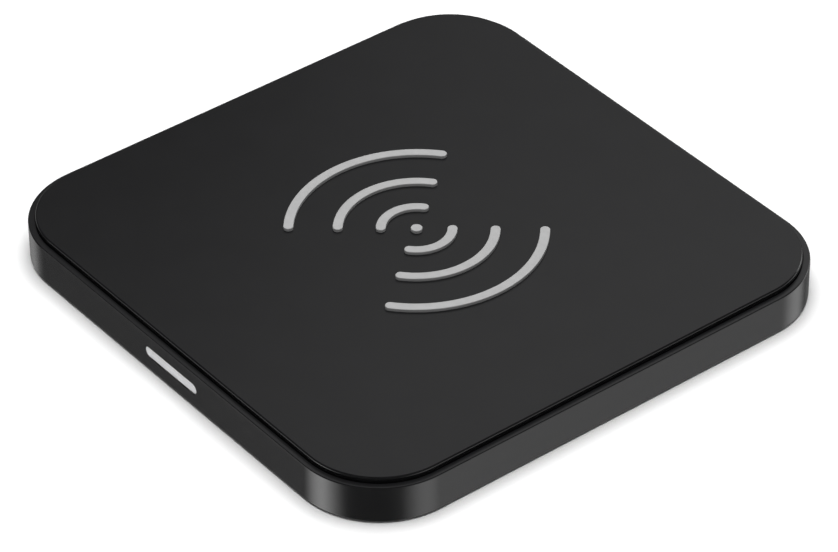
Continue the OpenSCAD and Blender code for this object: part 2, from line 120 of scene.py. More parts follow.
# The cards' share of that brightness by height, from straight below at 0 to straight
# above at 1. They end at the horizon, and above it is only the fill.
CARD_HEIGHTS = [(0.0, 0.75), (0.06, 0.75), (0.14, 1.0), (0.46, 1.0), (0.53, 0.0), (1.0, 0.0)]
CAMERA_AZIMUTH = 51.822
CAMERA_ELEVATION = 37.60
CAMERA_ROLL = -0.355
CAMERA_DISTANCE = 670.3 * MM
CAMERA_AIM = (1.78 * MM, -1.01 * MM)
CAMERA_LENS = 194.43
CAMERA_CLIP = (10 * MM, 20.0)

case_low, case_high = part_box("bottom_case")

bpy.ops.mesh.primitive_plane_add(size=TABLE_SIZE, location=(0, 0, -TABLE_GAP))
table = bpy.context.object
table.name = "table"
table.visible_glossy = False
paint = bpy.data.materials.new("matt_table_paint")
paint.use_nodes = True
paint.node_tree.nodes["Principled BSDF"].inputs["Base Color"].default_value = linear(TABLE_SHADE)
paint.node_tree.nodes["Principled BSDF"].inputs["Roughness"].default_value = TABLE_ROUGHNESS
table.data.materials.append(paint)

aim = Vector((CAMERA_AIM[0], CAMERA_AIM[1], case_low.z))
azimuth, elevation = math.radians(CAMERA_AZIMUTH), math.radians(CAMERA_ELEVATION)
to_camera = Vector((
    math.sin(azimuth) * math.cos(elevation),
    -math.cos(azimuth) * math.cos(elevation),
    math.sin(elevation),
))
bpy.ops.object.camera_add(location=aim + to_camera * CAMERA_DISTANCE)
camera = bpy.context.object
camera.rotation_mode = "QUATERNION"
camera.rotation_quaternion = (
    to_camera.to_track_quat("Z", "Y") @ Matrix.Rotation(math.radians(CAMERA_ROLL), 3, "Z").to_quaternion()
)
camera.data.lens = CAMERA_LENS
camera.data.sensor_fit = "HORIZONTAL"
camera.data.clip_start, camera.data.clip_end = CAMERA_CLIP
bpy.context.scene.camera = camera
bpy.context.scene.view_settings.view_transform = "Standard"


def softbox(name, place, size, power, towards=(0, 0, 0)):
    """A rectangular softbox that faces a point."""
    bpy.ops.object.light_add(type="AREA", location=place)
    lamp = bpy.context.object
    lamp.name = name
    lamp.data.shape = "RECTANGLE"
    lamp.data.size, lamp.data.size_y = size
    lamp.data.energy = power
    lamp.rotation_mode = "QUATERNION"
    lamp.rotation_quaternion = (Vector(place) - Vector(towards)).to_track_quat("Z", "Y")
    return lamp


top = softbox("top_softbox", (0, 0, TOP_HEIGHT), (TOP_BOX, TOP_BOX), TOP_POWER)
top.visible_glossy = False
sideways = Vector((to_camera.y, -to_camera.x, 0)).normalized() * -1
mirrored = Vector((-to_camera.x, -to_camera.y, to_camera.z))
softbox("back_softbox", mirrored * BACK_DISTANCE + sideways * BACK_SHIFT, SIDE_BOX, BACK_POWER)
softbox("side_softbox", mirrored * SIDE_DISTANCE + sideways * SIDE_SHIFT, SIDE_BOX, SIDE_POWER)
high_place = Matrix.Rotation(HIGH_DROP, 3, sideways) @ mirrored * HIGH_DISTANCE
softbox("high_softbox", high_place, SIDE_BOX, HIGH_POWER)
# The strip is only seen mirrored, as the bright line at the right corner
glint = softbox("glint_strip", GLINT_PLACE, GLINT_BOX, GLINT_POWER)
glint.visible_diffuse = False
front_place = Matrix.Rotation(FRONT_RISE, 3, sideways) @ to_camera * FRONT_DISTANCE
front = softbox("front_softbox", front_place, FRONT_BOX, FRONT_POWER)
front.visible_glossy = False

world = bpy.data.worlds.new("studio")
bpy.context.scene.world = world
world.use_nodes = True
sky = world.node_tree
outward = add(sky, "ShaderNodeTexCoord").outputs["Generated"]
direction = add(sky, "ShaderNodeSeparateXYZ", {"Vector": outward})
compass = add(
    sky, "ShaderNodeMath", {0: direction.outputs["Y"], 1: direction.outputs["X"]}, operation="ARCTAN2"
)
turned = add(
    sky, "ShaderNodeMapRange",
    {"Value": compass.outputs[0], "From Min": -math.pi, "From Max": math.pi},
)
card_stops = [((angle + CARD_SPAN / 2) / CARD_SPAN, shine / SKY_STRENGTH) for angle, shine in CARDS]
cards = ramp(sky, turned.outputs[0], card_stops, "LINEAR")
height = add(sky, "ShaderNodeMapRange", {"Value": direction.outputs["Z"], "From Min": -1.0})
heights = ramp(sky, height.outputs[0], CARD_HEIGHTS, "LINEAR")
mixed = add(
    sky, "ShaderNodeMix", {"Factor": heights, "A": (FILL / SKY_STRENGTH,) * 3 + (1.0,), "B": cards},
    data_type="RGBA",
)
sky.nodes["Background"].inputs["Strength"].default_value = SKY_STRENGTH
sky.links.new(mixed.outputs["Result"], sky.nodes["Background"].inputs["Color"])


# ---- Bottom case ----
# The tub is one ABS/PC moulding from a polished mould, so its walls have a low sheen.
# The base, posts, pillars and ribs are moulded with it, and the light window and the
# socket pass through slots in its front and back walls.

CORNER = 13.5 * MM
RIM_T = 1.0 * MM
WALL_T = 1.8 * MM
BASE_T = 1.2 * MM
RIM_FILLET = 0.18 * MM
BASE_FILLET = 0.15 * MM
CORNER_STEPS = 32
FILLET_STEPS = 5
PORT_CLEAR = 0.1 * MM
FOOT_CLEAR = 0.1 * MM
FOOT_POCKET = 0.5 * MM
HEAD_CLEAR = 0.2 * MM
SHANK_R = 1.15 * MM
PILLAR_R = 3.0 * MM
PILLAR_FLOOR = 0.8 * MM
POST_R = 2.0 * MM
POST_AT = (30 * MM, 20 * MM)
PIN_R = 0.95 * MM
PIN_PROUD = 0.4 * MM
RIB_T = 1.0 * MM
RIB_AT = 14.0 * MM
RIB_L = 52.0 * MM
SINK = 0.2 * MM
TINY = 0.001 * MM
# A face looks a given way when its normal leans at least this far towards it
FACING = 0.5
# A normal's upward part, where a side's polish begins to give way and where it has
LOOKS_UP = (0.9, 0.99)
# Where along its noise a colour leaves its dark shade and reaches its light one
SHADE_STOPS = (0.3, 0.7)


def only(piece):
    """Selects one object and makes it the active one."""
    bpy.ops.object.select_all(action="DESELECT")
    piece.select_set(True)
    bpy.context.view_layer.objects.active = piece


def edit(piece):
    """Opens one object in edit mode."""
    only(piece)
    bpy.ops.object.mode_set(mode="EDIT")


def fixed():
    """Fixes the active object's place in its mesh."""
    bpy.ops.object.transform_apply(location=True, rotation=True, scale=True)
    return bpy.context.object


def done():
    """Closes edit mode and fixes the object's place."""
    bpy.ops.object.mode_set(mode="OBJECT")
    return fixed()


def pick(kind, test):
    """Selects the faces, edges or vertices of the open mesh that pass a test."""
    bpy.ops.mesh.select_mode(type=kind)
    bpy.ops.mesh.select_all(action="DESELECT")
    shape = bmesh.from_edit_mesh(bpy.context.object.data)
    for part in {"VERT": shape.verts, "EDGE": shape.edges, "FACE": shape.faces}[kind]:
        if test(part):
            part.select_set(True)
    shape.select_flush_mode()
    bmesh.update_edit_mesh(bpy.context.object.data)


def level(z, up=None):
    """A test for flat faces at a height, and facing up or down if asked."""
    def test(face):
        here = all(abs(v.co.z - z) < TINY for v in face.verts)
        return here and (up is None or face.normal.z * up > FACING)
    return test


def push(x=0.0, y=0.0, z=0.0):
    """Extrudes what is picked."""
    bpy.ops.mesh.extrude_region_move(TRANSFORM_OT_translate={"value": (x, y, z)})


def round_off(radius, steps):
    """Rounds the picked edges."""
    bpy.ops.mesh.bevel(offset=radius, segments=steps, affect="EDGES")


def round_rim(test, radius, steps):
    """Rounds the outline of the faces that pass a test."""
    pick("FACE", test)
    bpy.ops.mesh.region_to_loop()
    round_off(radius, steps)


def block(low, high):
    """A block between two corners, as a start for a piece."""
    low, high = Vector(low), Vector(high)
    bpy.ops.object.select_all(action="DESELECT")
    bpy.ops.mesh.primitive_cube_add(size=1, location=(low + high) / 2, scale=high - low)
    return fixed()


def round_block(low, high, radius, steps):
    """A block whose upright edges are rounded."""
    made = block(low, high)
    edit(made)
    pick("EDGE", lambda e: abs(e.verts[0].co.z - e.verts[1].co.z) > TINY)
    round_off(radius, steps)
    done()
    return made


def rod(radius, low, high, at=(0, 0), steps=48):
    """An upright cylinder."""
    bpy.ops.object.select_all(action="DESELECT")
    bpy.ops.mesh.primitive_cylinder_add(
        vertices=steps, radius=radius, depth=high - low, location=(at[0], at[1], (low + high) / 2)
    )
    return fixed()


def pill(width, height, near, far, z, steps=48):
    """A bar along Y with full round ends: a cylinder pulled apart across its middle."""
    bpy.ops.object.select_all(action="DESELECT")
    bpy.ops.mesh.primitive_cylinder_add(
        vertices=steps, radius=height / 2, depth=far - near,
        location=(0, (near + far) / 2, z), rotation=(math.pi / 2, 0, 0),
    )
    made = fixed()
    edit(made)
    for side in (-1, 1):
        pick("VERT", lambda v: v.co.x * side > TINY)
        bpy.ops.transform.translate(value=(side * (width - height) / 2, 0, 0))
    done()
    return made


def joined(parts):
    """Several objects made one."""
    only(parts[0])
    for part in parts:
        part.select_set(True)
    bpy.ops.object.join()
    return bpy.context.object


def copies(piece, places):
    """The piece and its copies, moved to each place and joined."""
    made = []
    for place in places:
        only(piece)
        bpy.ops.object.duplicate()
        bpy.ops.transform.translate(value=(place[0], place[1], 0))
        made.append(fixed())
    bpy.data.objects.remove(piece)
    return joined(made)


def carve(piece, tool, how="DIFFERENCE"):
    """Cuts the tool out of the piece, or welds it on."""
    only(piece)
    bpy.ops.object.modifier_add(type="BOOLEAN")
    modifier = piece.modifiers[-1]
    modifier.operation = how
    modifier.solver = "EXACT"
    modifier.object = tool
    bpy.ops.object.modifier_apply(modifier=modifier.name)
    bpy.data.objects.remove(tool)
    return piece


def corner_spread(x, y):
    """The four places at plus and minus x and y."""
    return [(sx * x, sy * y) for sx in (-1, 1) for sy in (-1, 1)]


def settle(piece, name, finish, slot, *nodes, crease=35):
    """Names, smooths and paints the finished piece, which rides in place of its nodes."""
    only(piece)
    piece.name = name
    piece.data.name = name
    bpy.ops.object.shade_smooth_by_angle(angle=math.radians(crease))
    bpy.ops.object.modifier_add(type="WEIGHTED_NORMAL")
    piece.modifiers[-1].keep_sharp = True
    bpy.ops.object.modifier_apply(modifier=piece.modifiers[-1].name)
    if not piece.data.materials:
        piece.data.materials.append(finish)
    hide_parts(*nodes)
    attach(piece, "root")
    return piece


def surface(name, sockets):
    """A material with its shader's own values set, and its node tree."""
    made = bpy.data.materials.new(name)
    made.use_nodes = True
    shader = made.node_tree.nodes["Principled BSDF"]
    for socket, value in sockets.items():
        shader.inputs[socket].default_value = value
    return made, made.node_tree, shader


def grain(tree, size, detail=2.0, stretch=(1, 1, 1)):
    """Noise on the object's own coordinates, with features about this size."""
    place = add(tree, "ShaderNodeMapping", {
        "Vector": add(tree, "ShaderNodeTexCoord").outputs["Object"], "Scale": stretch,
    })
    return add(
        tree, "ShaderNodeTexNoise",
        {"Vector": place.outputs[0], "Scale": 1 / size, "Detail": detail, "Roughness": 0.5},
    ).outputs["Fac"]


def between(tree, factor, low, high):
    """A grey value that runs from low to high with the factor."""
    return add(tree, "ShaderNodeMapRange", {"Value": factor, "To Min": low, "To Max": high}).outputs[0]


def matt_on_top(tree, shader, polished, matt):
    """Roughness that is low on the sides and high on faces that look up."""
    normal = add(tree, "ShaderNodeTexCoord").outputs["Normal"]
    upward = add(tree, "ShaderNodeSeparateXYZ", {"Vector": normal}).outputs["Z"]
    rough = add(tree, "ShaderNodeMapRange", {
        "Value": upward, "From Min": LOOKS_UP[0], "From Max": LOOKS_UP[1], "To Min": polished, "To Max": matt,
    })
    tree.links.new(rough.outputs[0], shader.inputs["Roughness"])


def bumps(tree, shader, height, depth, strength=1.0):
    """Relief on a shader, as deep as this."""
    relief = add(tree, "ShaderNodeBump", {"Height": height, "Distance": depth, "Strength": strength})
    tree.links.new(relief.outputs[0], shader.inputs["Normal"])


def shades(tree, shader, factor, dark, light):
    """Colour that drifts between two shades."""
    stops = [(SHADE_STOPS[0], linear(dark)), (SHADE_STOPS[1], linear(light))]
    tree.links.new(ramp(tree, factor, stops, "LINEAR"), shader.inputs["Base Color"])


# Black ABS/PC, polished mould: a smooth skin with a low sheen and the slight waviness
# that moulded walls have
case_plastic, tree, shader = surface("polished_black_abs", {"IOR": 1.5, "Roughness": 0.2})
shades(tree, shader, grain(tree, 4 * MM), "#141415", "#161617")
matt_on_top(tree, shader, between(tree, grain(tree, 1.5 * MM), 0.17, 0.23), 0.3)
bumps(tree, shader, grain(tree, 2.5 * MM, 1.0), 0.004 * MM)

cover_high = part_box("top_cover")[1]
board_low, board_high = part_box("main_board")
window_low, window_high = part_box("led_window")
shell_low, shell_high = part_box("usb_c_shell")
feet_low, feet_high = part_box("foot_pads")
screw_low, screw_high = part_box("case_screws")

HALF = case_high.x
RIM_Z = case_high.z
CASE_Z = case_low.z
BASE_TOP = CASE_Z + BASE_T
FOOT_R = 4.5 * MM
FOOT_AT = feet_high.x - FOOT_R
HEAD_R = 1.7 * MM
HEAD_H = 1.0 * MM
HEAD_SEAT = screw_low.z + HEAD_H
PILLAR_TOP = HEAD_SEAT + PILLAR_FLOOR
PLATE_T = 1.5 * MM
LEDGE_Z = cover_high.z - PLATE_T
WINDOW_W = 12.6 * MM
WINDOW_H = 1.9 * MM
WINDOW_Z = (window_low.z + window_high.z) / 2
PORT_Z = (shell_low.z + shell_high.z) / 2
SHELL_W = 8.94 * MM
SHELL_H = shell_high.z - shell_low.z

case = round_block((-HALF, -HALF, CASE_Z), (HALF, HALF, RIM_Z), CORNER, CORNER_STEPS)
edit(case)
round_rim(level(RIM_Z), RIM_FILLET, FILLET_STEPS)
round_rim(level(CASE_Z), BASE_FILLET, FILLET_STEPS)
pick("FACE", level(RIM_Z))
bpy.ops.mesh.inset(thickness=RIM_T - RIM_FILLET)
push(z=LEDGE_Z - RIM_Z)
bpy.ops.mesh.inset(thickness=WALL_T - RIM_T)
push(z=BASE_TOP - LEDGE_Z)
case = done()

for sx, sy in corner_spread(1, 1):
    carve(case, rod(PILLAR_R, BASE_TOP - SINK, PILLAR_TOP, (sx * FOOT_AT, sy * FOOT_AT)), "UNION")
    carve(case, rod(POST_R, BASE_TOP - SINK, board_low.z, (sx * POST_AT[0], sy * POST_AT[1])), "UNION")
for s in (-1, 1):
    pin = rod(PIN_R, board_low.z - SINK, board_high.z + PIN_PROUD, (s * POST_AT[0], s * POST_AT[1]))
    carve(case, pin, "UNION")
    rib_z = (BASE_TOP - SINK, board_low.z)
    across = (s * RIB_AT - RIB_T / 2, s * RIB_AT + RIB_T / 2)
    carve(case, block((-RIB_L / 2, across[0], rib_z[0]), (RIB_L / 2, across[1], rib_z[1])), "UNION")
    carve(case, block((across[0], -RIB_L / 2, rib_z[0]), (across[1], RIB_L / 2, rib_z[1])), "UNION")

holes = rod(FOOT_R + FOOT_CLEAR, CASE_Z - WALL_T, CASE_Z + FOOT_POCKET, steps=96)
edit(holes)
pick("FACE", level(CASE_Z + FOOT_POCKET))
bpy.ops.mesh.inset(thickness=FOOT_R + FOOT_CLEAR - HEAD_R - HEAD_CLEAR)
push(z=HEAD_SEAT - CASE_Z - FOOT_POCKET)
bpy.ops.mesh.inset(thickness=HEAD_R + HEAD_CLEAR - SHANK_R)
push(z=PILLAR_TOP + SINK - HEAD_SEAT)
holes = done()
carve(case, copies(holes, corner_spread(FOOT_AT, FOOT_AT)))
carve(case, pill(WINDOW_W, WINDOW_H, -HALF - WALL_T, -HALF + 2 * WALL_T, WINDOW_Z))
port = pill(SHELL_W + 2 * PORT_CLEAR, SHELL_H + 2 * PORT_CLEAR, HALF - 2 * WALL_T, HALF + WALL_T, PORT_Z)
carve(case, port)
settle(case, "moulded_case", case_plastic, "case_plastic", "bottom_case")


# ---- Top cover ----
# A flat ABS/PC plate with a fine spark-eroded texture, so it looks soft and matt beside
# the polished case. Its skirt drops inside the wall, and four bosses take the screws.

COVER_HALF = cover_high.x
COVER_R = CORNER - RIM_T - (HALF - RIM_T - COVER_HALF)
COVER_FILLET = 0.3 * MM
SKIRT_T = 0.9 * MM
SKIRT_H = 0.7 * MM
SKIRT_GAP = 0.15 * MM
BOSS_R = 2.5 * MM
PILOT_R = 1.02 * MM
PILOT_H = 3.4 * MM
GRIP_DEPTH = 0.4 * MM
GRIP_CLEAR = 0.02 * MM
WAVE_W = 1.5 * MM
WAVE_RADII = {"grip_arc_inner": 5.3 * MM, "grip_arc_middle": 11.65 * MM, "grip_arc_outer": 18.95 * MM}
WAVE_HALF_ANGLE = math.radians(50)
DOT_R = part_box("grip_dot")[1].x
COVER_Z = cover_high.z
GRIP_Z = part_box("grip_dot")[1].z


def wave_pair(radius, width, low, high, fillet=0.0):
    """Two opposite arcs with round ends. One end cap is drawn, spun to the middle, mirrored and pulled up."""
    along = Vector((-math.sin(WAVE_HALF_ANGLE), math.cos(WAVE_HALF_ANGLE), 0))
    middle = Vector((math.cos(WAVE_HALF_ANGLE), math.sin(WAVE_HALF_ANGLE), 0)) * radius
    bpy.ops.object.select_all(action="DESELECT")
    bpy.ops.mesh.primitive_circle_add(
        vertices=32, radius=width / 2, location=(middle.x, middle.y, low), rotation=(0, 0, WAVE_HALF_ANGLE)
    )
    arc = fixed()
    edit(arc)
    pick("VERT", lambda v: (v.co - middle).dot(along) < -TINY)
    bpy.ops.mesh.delete(type="VERT")
    bpy.ops.mesh.select_all(action="SELECT")
    bpy.ops.mesh.edge_face_add()
    pick("EDGE", lambda e: all(abs((v.co - middle).dot(along)) < TINY for v in e.verts))
    bpy.ops.mesh.spin(steps=36, angle=WAVE_HALF_ANGLE, center=(0, 0, 0), axis=(0, 0, 1))
    bpy.ops.mesh.select_all(action="SELECT")
    bpy.ops.mesh.remove_doubles(threshold=TINY)
    bpy.ops.object.mode_set(mode="OBJECT")
    bpy.ops.object.modifier_add(type="MIRROR")
    arc.modifiers[-1].use_axis = (False, True, False)
    arc.modifiers[-1].merge_threshold = TINY / 2
    bpy.ops.object.modifier_apply(modifier=arc.modifiers[-1].name)
    edit(arc)
    bpy.ops.mesh.select_all(action="SELECT")
    push(z=high - low)
    bpy.ops.mesh.select_all(action="SELECT")
    bpy.ops.mesh.normals_make_consistent(inside=False)
    if fillet:
        pick("EDGE", lambda e: edge_of_top(e, high))
        round_off(fillet, 4)
    bpy.ops.mesh.select_all(action="SELECT")
    bpy.ops.mesh.duplicate()
    bpy.ops.transform.rotate(value=math.pi, orient_axis="Z", center_override=(0, 0, 0))
    return done()


def edge_of_top(edge, z):
    """Whether an edge lies between a flat top at a height and a side."""
    here = all(abs(v.co.z - z) < TINY for v in edge.verts)
    ups = [face.normal.z > FACING for face in edge.link_faces]
    return here and any(ups) and not all(ups)


# Black ABS/PC, spark-eroded mould texture: a soft even matt skin, because the texture's
# pits of about 0.1 mm scatter the light
cover_plastic, tree, shader = surface("eroded_black_abs", {"IOR": 1.46, "Roughness": 0.3})
shades(tree, shader, grain(tree, 6 * MM), "#111112", "#131314")
matt_on_top(tree, shader, 0.2, between(tree, grain(tree, 0.3 * MM), 0.28, 0.34))
bumps(tree, shader, grain(tree, 0.12 * MM, 3.0), 0.003 * MM)

cover = round_block(
    (-COVER_HALF, -COVER_HALF, LEDGE_Z), (COVER_HALF, COVER_HALF, COVER_Z), COVER_R, CORNER_STEPS
)
edit(cover)
round_rim(level(COVER_Z), COVER_FILLET, 6)
skirt_half = HALF - WALL_T - SKIRT_GAP
pick("FACE", level(LEDGE_Z))
bpy.ops.mesh.inset(thickness=COVER_HALF - skirt_half)
bpy.ops.mesh.inset(thickness=SKIRT_T)
pick("FACE", lambda f: level(LEDGE_Z)(f) and len(f.verts) == 4
     and all(max(abs(v.co.x), abs(v.co.y)) < skirt_half + TINY for v in f.verts))
push(z=-SKIRT_H)
cover = done()
for x, y in corner_spread(FOOT_AT, FOOT_AT):
    carve(cover, rod(BOSS_R, PILLAR_TOP, LEDGE_Z + SINK, (x, y)), "UNION")
    carve(cover, rod(PILOT_R, PILLAR_TOP - SINK, HEAD_SEAT + PILOT_H, (x, y)))
for radius in WAVE_RADII.values():
    carve(cover, wave_pair(radius, WAVE_W + 2 * GRIP_CLEAR, COVER_Z - GRIP_DEPTH, GRIP_Z))
carve(cover, rod(DOT_R + GRIP_CLEAR, COVER_Z - GRIP_DEPTH, GRIP_Z))
settle(cover, "cover_plate", cover_plastic, "cover_plastic", "top_cover")


# ---- Anti-slip waves ----
# Pale silicone rubber bars and a centre dot, pressed into grooves in the cover. They
# stand a little proud, with soft top edges, so a phone laid on them does not slide.

GRIP_FILLET = 0.12 * MM

# Silicone rubber, moulded: pale grey and satin, with a dry soft skin that catches a
# broad dull highlight along each rounded edge
grip_rubber, tree, shader = surface("moulded_grey_silicone", {"IOR": 1.41, "Roughness": 0.55})
shades(tree, shader, grain(tree, 1.2 * MM), "#9F9F9F", "#A5A5A5")
bumps(tree, shader, grain(tree, 0.15 * MM), 0.004 * MM)

for node, radius in WAVE_RADII.items():
    bars = wave_pair(radius, WAVE_W, COVER_Z - GRIP_DEPTH, GRIP_Z, GRIP_FILLET)
    settle(bars, node.replace("grip_arc", "grip_bars"), grip_rubber, "grip_rubber", node)
dot = rod(DOT_R, COVER_Z - GRIP_DEPTH, GRIP_Z, steps=40)
edit(dot)
pick("EDGE", lambda e: edge_of_top(e, GRIP_Z))
round_off(GRIP_FILLET, 4)
settle(done(), "grip_centre_dot", grip_rubber, "grip_rubber", "grip_dot")


# ---- Light window ----
# A frosted polycarbonate bar behind a slot in the front wall. Its flange bears on the
# inside of the wall, and its back end takes the status lights' glow to the face.

WINDOW_CLEAR = 0.08 * MM
WINDOW_FILLET = 0.05 * MM
FLANGE_LIP = 0.7 * MM
FLANGE_T = 0.8 * MM
GUIDE_SIZE = (10.0 * MM, 1.5 * MM)

# Polycarbonate with diffuser, moulded: a milky, faintly cool white that light sinks into
# a little, under a satin face
window_plastic, tree, shader = surface("frosted_polycarbonate", {
    "IOR": 1.58, "Roughness": 0.38,
    "Subsurface Weight": 0.2, "Subsurface Radius": (1, 1, 1), "Subsurface Scale": 0.4 * MM,
})
shades(tree, shader, grain(tree, 1.5 * MM), "#F5F5F6", "#F9F9FA")
bumps(tree, shader, grain(tree, 0.2 * MM), 0.002 * MM)

inside = HALF - WALL_T
window = pill(
    WINDOW_W - 2 * WINDOW_CLEAR, WINDOW_H - 2 * WINDOW_CLEAR, window_low.y, SINK - inside, WINDOW_Z
)
edit(window)
round_rim(lambda f: f.normal.y < -FACING, WINDOW_FILLET, 3)
window = done()
flange = pill(WINDOW_W + 2 * FLANGE_LIP, WINDOW_H + 2 * FLANGE_LIP, -inside, FLANGE_T - inside, WINDOW_Z)
carve(window, flange, "UNION")
guide_low = Vector((-GUIDE_SIZE[0] / 2, FLANGE_T - inside - SINK, WINDOW_Z - GUIDE_SIZE[1] / 2))
guide_high = Vector((GUIDE_SIZE[0] / 2, window_high.y, WINDOW_Z + GUIDE_SIZE[1] / 2))
carve(window, block(guide_low, guide_high), "UNION")
settle(window, "light_bar", window_plastic, "window_plastic", "led_window")


# ---- Feet ----
# Four black silicone discs pressed into round pockets in the base. Each is glued over a
# screw, and has a rounded lower edge so that it does not peel.

FOOT_FILLET = 0.2 * MM

# Black silicone rubber, moulded: dead matt, faintly grey from dust, with a fine bloom
foot_rubber, tree, shader = surface("black_silicone_rubber", {"IOR": 1.41, "Roughness": 0.72})
shades(tree, shader, grain(tree, 0.8 * MM, 4.0), "#1B1B1C", "#222223")
tree.links.new(between(tree, grain(tree, 0.4 * MM), 0.66, 0.8), shader.inputs["Roughness"])
bumps(tree, shader, grain(tree, 0.1 * MM, 3.0), 0.006 * MM)

foot = rod(FOOT_R, feet_low.z, feet_high.z, steps=72)
edit(foot)
round_rim(level(feet_low.z), FOOT_FILLET, 5)
foot = done()
feet = copies(foot, corner_spread(FOOT_AT, FOOT_AT))
settle(feet, "silicone_feet", foot_rubber, "foot_rubber", "foot_pads")


# ---- Case screws ----
# Four M2 thread-forming screws go up through the base into the cover's bosses. Each has
# a pan head with a cross recess and a coarse rolled thread, and is hidden by its foot.

HEAD_FILLET = 0.3 * MM
CROSS = (2.0 * MM, 0.5 * MM, 0.6 * MM)
THREAD_R = screw_high.x - FOOT_AT
SCREW_CORE_R = 0.78 * MM
THREAD_PITCH = 0.5 * MM
THREAD_TURNS = 6
THREAD_ROOT = 0.3 * THREAD_PITCH
THREAD_FLANK = 0.3 * THREAD_PITCH
THREAD_CREST = 0.1 * THREAD_PITCH

# Zinc-plated steel, cold-headed: bright bluish grey metal, softly mottled where the
# plating is thin
screw_steel, tree, shader = surface("zinc_plated_steel", {"Metallic": 1.0, "Roughness": 0.32})
shades(tree, shader, grain(tree, 0.6 * MM, 4.0), "#A9ADB2", "#C0C3C6")
tree.links.new(between(tree, grain(tree, 0.25 * MM, 3.0), 0.25, 0.42), shader.inputs["Roughness"])
bumps(tree, shader, grain(tree, 0.15 * MM, 3.0), 0.004 * MM)

screw = rod(HEAD_R, screw_low.z, HEAD_SEAT, steps=40)
edit(screw)
round_rim(level(screw_low.z), HEAD_FILLET, 5)
pick("FACE", level(HEAD_SEAT))
bpy.ops.mesh.inset(thickness=HEAD_R - SCREW_CORE_R)
for _ in range(THREAD_TURNS):
    push(z=THREAD_FLANK)
    bpy.ops.transform.resize(value=(THREAD_R / SCREW_CORE_R, THREAD_R / SCREW_CORE_R, 1))
    push(z=THREAD_CREST)
    push(z=THREAD_FLANK)
    bpy.ops.transform.resize(value=(SCREW_CORE_R / THREAD_R, SCREW_CORE_R / THREAD_R, 1))
    push(z=THREAD_ROOT)
push(z=screw_high.z - HEAD_SEAT - THREAD_TURNS * THREAD_PITCH)
screw = done()
for along, across in ((CROSS[0], CROSS[1]), (CROSS[1], CROSS[0])):
    slot_low = (-along / 2, -across / 2, screw_low.z - SINK)
    carve(screw, block(slot_low, (along / 2, across / 2, screw_low.z + CROSS[2])))
screws = copies(screw, corner_spread(FOOT_AT, FOOT_AT))
settle(screws, "pan_head_screws", screw_steel, "screw_steel", "case_screws")


# ---- USB-C socket ----
# A deep-drawn stainless shell with a rolled mouth, soldered to the board by its two
# wings. The black insulator inside carries a thin tongue with twelve contacts a side.

SHELL_T = 0.25 * MM
MOUTH_FILLET = 0.08 * MM
WING_L = 1.6 * MM
TONGUE = (6.69 * MM, 0.7 * MM)
TONGUE_FILLET = 0.15 * MM
TONGUE_RECESS = 0.9 * MM
INSULATOR_L = 1.9 * MM
CONTACT = (0.25 * MM, 3.2 * MM, 0.05 * MM)
CONTACT_EDGE = 0.6 * CONTACT[2]
CONTACT_PITCH = 0.5 * MM
CONTACTS = 12

# Stainless steel, deep drawn and tumbled: clean light metal with fine draw lines that
# run towards the mouth
shell_steel, tree, shader = surface("drawn_stainless_steel", {"Metallic": 1.0, "Roughness": 0.28})
shades(tree, shader, grain(tree, 1.0 * MM), "#C4C5C7", "#CFD0D1")
tree.links.new(between(tree, grain(tree, 0.1 * MM, 2.0, (1, 0.05, 1)), 0.2, 0.36), shader.inputs["Roughness"])
bumps(tree, shader, grain(tree, 0.08 * MM, 2.0, (1, 0.05, 1)), 0.002 * MM)

shell = pill(SHELL_W, SHELL_H, shell_low.y, shell_high.y, PORT_Z, steps=64)
middle_y = (shell_low.y + shell_high.y) / 2
wings = block(
    (shell_low.x, middle_y - WING_L / 2, board_high.z),
    (shell_high.x, middle_y + WING_L / 2, board_high.z + SHELL_T),
)
carve(shell, wings, "UNION")
bore_w = SHELL_W - 2 * SHELL_T
bore_h = SHELL_H - 2 * SHELL_T
carve(shell, pill(bore_w, bore_h, shell_low.y - SINK, shell_high.y + SINK, PORT_Z, steps=64))
edit(shell)
pick("EDGE", lambda e: all(abs(v.co.y - shell_high.y) < TINY for v in e.verts))
round_off(MOUTH_FILLET, 3)
settle(done(), "socket_shell", shell_steel, "shell_steel", "usb_c_shell")

# Glass-filled LCP, moulded: dense black with a dry, slightly speckled skin from the fibres
socket_plastic, tree, shader = surface("glass_filled_polymer", {"IOR": 1.6, "Roughness": 0.5})
shades(tree, shader, grain(tree, 0.15 * MM, 3.0, (1, 0.2, 1)), "#151516", "#1F1F20")
bumps(tree, shader, grain(tree, 0.06 * MM, 2.0, (1, 0.2, 1)), 0.002 * MM)

back_y = shell_low.y + INSULATOR_L
tongue = block(
    (-TONGUE[0] / 2, back_y - SINK, PORT_Z - TONGUE[1] / 2),
    (TONGUE[0] / 2, shell_high.y - TONGUE_RECESS, PORT_Z + TONGUE[1] / 2),
)
edit(tongue)
pick("EDGE", lambda e: all(abs(v.co.y - shell_high.y + TONGUE_RECESS) < TINY for v in e.verts))
round_off(TONGUE_FILLET, 3)
tongue = done()
carve(tongue, pill(bore_w - TINY, bore_h - TINY, shell_low.y, back_y, PORT_Z, steps=64), "UNION")
settle(tongue, "socket_tongue", socket_plastic, "socket_plastic", "usb_c_insulator")

# Copper alloy, gold flashed: warm yellow metal, smooth, with light wiping marks along it
contact_gold, tree, shader = surface("gold_flashed_copper", {"Metallic": 1.0, "Roughness": 0.24})
shades(tree, shader, grain(tree, 0.2 * MM, 2.0, (1, 0.1, 1)), "#D2A94F", "#E3C06C")
bumps(tree, shader, grain(tree, 0.05 * MM, 2.0, (1, 0.05, 1)), 0.001 * MM)

